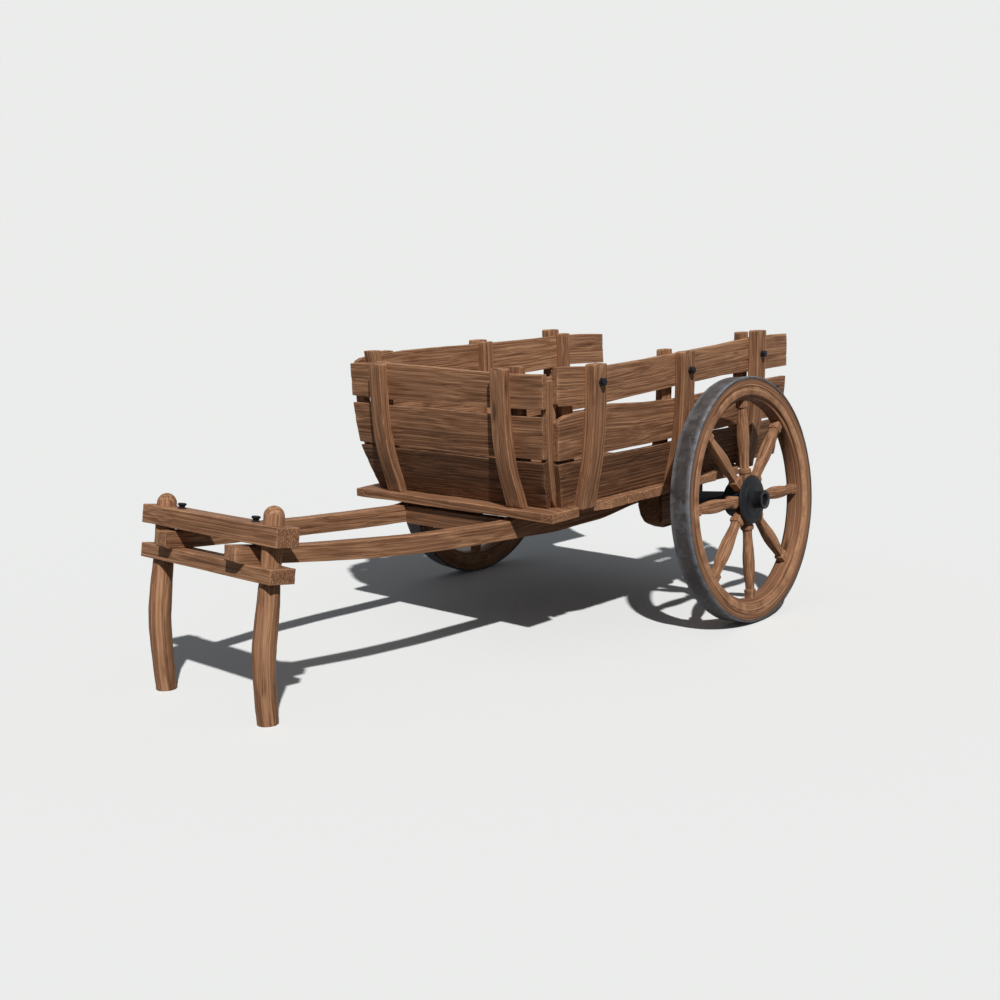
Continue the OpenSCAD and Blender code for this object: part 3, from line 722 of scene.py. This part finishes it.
def spoke_sections():
    """Foot, collar, shank, collar and tongue, as (radius, half along axle, half across, squareness)."""
    r0, r1 = 0.087, rim_in + 0.004
    return [
        (r0, 0.021, 0.023, 1.0), (r0 + 0.036, 0.021, 0.024, 1.0), (r0 + 0.040, 0.025, 0.028, 0.9),
        (r0 + 0.052, 0.026, 0.029, 0.8), (r0 + 0.060, 0.025, 0.027, 0.7), (r0 + 0.064, 0.020, 0.021, 0.5),
        (r0 + 0.085, 0.019, 0.020, 0.35), (r0 + 0.13, 0.021, 0.024, 0.3), (r0 + 0.18, 0.024, 0.029, 0.3),
        (r0 + 0.22, 0.025, 0.030, 0.3), (r0 + 0.26, 0.024, 0.028, 0.3), (r0 + 0.30, 0.021, 0.024, 0.35),
        (r0 + 0.335, 0.018, 0.020, 0.4), (r1 - 0.048, 0.018, 0.019, 0.5), (r1 - 0.044, 0.022, 0.025, 0.8),
        (r1 - 0.036, 0.023, 0.026, 0.9), (r1 - 0.030, 0.022, 0.023, 1.0), (r1, 0.022, 0.023, 1.0)]


def fine(sec, step=0.012):
    out = []
    for p, q in zip(sec, sec[1:]):
        k = max(1, int((q[0] - p[0]) / step))
        for i in range(k):
            f = i / k
            out.append(tuple(a + (b - a) * f for a, b in zip(p, q)))
    return out + [sec[-1]]


for side, name in ((1, "left"), (-1, "right")):
    m = wheel_frame(side)
    body = name + "_wheel"
    w = TYRE_W / 2
    R = WHEEL_R
    lathe("look_%s_tyre" % name, [
        (R - TYRE_T, -w), (R - 0.004, -w), (R - 0.0015, -w + 0.0012), (R, -w + 0.004),
        (R - 0.0006, -w * 0.5), (R - 0.001, 0), (R - 0.0006, w * 0.5),
        (R, w - 0.004), (R - 0.0015, w - 0.0012), (R - 0.004, w),
        (R - TYRE_T, w)][::-1], 180, m, TYRE, body,
        [name + "_tyre"], worn=(2, 3, 7, 8), rough=0.0007, seed=3 + side)
    v = w - 0.003
    lathe("look_%s_rim" % name, [
        (rim_out, -v), (rim_out, v), (rim_out - 0.002, v + 0.0006), (rim_out - 0.033, v),
        (rim_out - 0.036, v - 0.003), (rim_out - 0.041, v - 0.003), (rim_out - 0.044, v),
        (rim_in + 0.026, v), (rim_in + 0.020, v - 0.002),
        (rim_in + 0.015, v - 0.007), (rim_in + 0.014, v - 0.014), (rim_in + 0.007, v - 0.016),
        (rim_in + 0.002, v - 0.018), (rim_in, v - 0.022), (rim_in, 0.022 - v), (rim_in + 0.002, 0.018 - v),
        (rim_in + 0.007, 0.016 - v), (rim_in + 0.014, 0.014 - v), (rim_in + 0.015, 0.007 - v),
        (rim_in + 0.020, 0.002 - v), (rim_in + 0.026, -v)][::-1], 180, m, TIMBER, body,
        [name + "_rim"], wood=True, worn=(0, 12, 13, 14, 15, 16), rough=0.0009, seed=5 + side)
    parts = []
    sec = fine(spoke_sections())
    for i in range(8):
        spin = Matrix.Rotation(math.pi / 2 + i * math.pi / 4, 4, "Z") @ Matrix.Rotation(math.pi / 2, 4, "Y")
        rr = np.random.RandomState(90 + i + side)
        k = 1 + rr.uniform(-0.05, 0.05)
        sections = [((0, 0, s[0]), s[1] * k, s[2] * k, s[3]) for s in sec]
        parts.append(rings("spoke", sections, 20, m @ spin, TIMBER, 100 + i + 10 * side, body, [],
                           0.06 + rr.uniform(-0.05, 0.05), 0.0009, (0.01, 0.03)))
    ob = join(parts, "look_%s_spokes" % name)
    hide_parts(name + "_spokes")
    b = 0.02705
    lathe("look_%s_hub" % name, [
        (b, -0.080), (0.074, -0.080), (0.080, -0.078), (0.084, -0.072), (0.087, -0.062), (0.088, -0.058),
        (0.088, 0.026), (0.110, 0.028), (0.116, 0.030), (0.118, 0.033), (0.116, 0.037), (0.112, 0.0395),
        (0.085, 0.044), (0.082, 0.0475), (0.066, 0.0485), (0.050, 0.050), (0.044, 0.053), (0.0415, 0.060),
        (0.041, 0.090), (0.043, 0.0945), (0.0445, 0.097), (0.0445, 0.103), (0.042, 0.1055),
        (0.036, 0.106), (0.031, 0.104), (b + 0.001, 0.099), (b, 0.095)][::-1], 64, m, IRON, body,
        [name + "_hub"], worn=(2, 3, 17), rough=0.0006, seed=7 + side)

# Ironwork left as cut, softened and given its finish
for n in ("left_axle_arm", "right_axle_arm", "yoke_bolts", "board_bolts"):
    o = frame["nodes"][n]
    o.data.materials.clear()
    o.data.materials.append(IRON)
    weld = o.modifiers.new("weld", "WELD")
    weld.merge_threshold = 0.00005
    bev = o.modifiers.new("soft", "BEVEL")
    bev.width = 0.0008
    bev.segments = 2
    bev.limit_method = "ANGLE"
    bev.angle_limit = math.radians(35)

# Stage -------------------------------------------------------------------------------------------


def seen(g):
    """One where the background is looked at, directly or in a reflection."""
    lp = g.node("ShaderNodeLightPath")
    f = g.math("MAXIMUM", lp.outputs["Is Camera Ray"], lp.outputs["Is Glossy Ray"])
    return g.math("MAXIMUM", f, lp.outputs["Is Transmission Ray"])


bpy.ops.mesh.primitive_plane_add(size=300, location=(0, 0, 0))
floor = bpy.context.object
floor.name = "floor"
g = Graph("floor")
g.put(g.bsdf.inputs["Base Color"], g.mix(seen(g), (0.11, 0.11, 0.11, 1), (0.894, 0.924, 0.941, 1)))
g.bsdf.inputs["Roughness"].default_value = 1.0
g.bsdf.inputs["Specular IOR Level"].default_value = 0.0
floor.data.materials.append(g.mat)

world = bpy.data.worlds.new("world")
bpy.context.scene.world = world
world.use_nodes = True
sky = Graph.__new__(Graph)
sky.t = world.node_tree
bg = sky.t.nodes["Background"]
sky.put(bg.inputs[0], sky.mix(seen(sky), (0.12, 0.126, 0.132, 1), (0.83, 0.84, 0.83, 1)))
bg.inputs[1].default_value = 1.0


def sun(name, towards, power, angle, color):
    d = bpy.data.lights.new(name, "SUN")
    d.energy = power
    d.angle = math.radians(angle)
    d.color = color
    o = bpy.data.objects.new(name, d)
    o.rotation_mode = "QUATERNION"
    o.rotation_quaternion = Vector(towards).to_track_quat("Z", "Y")
    bpy.context.collection.objects.link(o)


sun("key", (0.445, 0.525, 0.725), 3.5, 1.5, (1.0, 0.97, 0.93))

cam_data = bpy.data.cameras.new("camera")
cam = bpy.data.objects.new("camera", cam_data)
bpy.context.collection.objects.link(cam)
bpy.context.scene.camera = cam
cam_data.sensor_width = 36.0
cam_data.lens = 43.126
cam_data.clip_end = 400
cam.location = (AXLE_X + 5.100, 3.7004, 1.4758)
yaw, pitch = -2.4285, -0.1540
aim = Vector((math.cos(pitch) * math.cos(yaw), math.cos(pitch) * math.sin(yaw), math.sin(pitch)))
cam.rotation_mode = "QUATERNION"
cam.rotation_quaternion = aim.to_track_quat("-Z", "Y")

scene = bpy.context.scene
scene.view_settings.view_transform = "Standard"
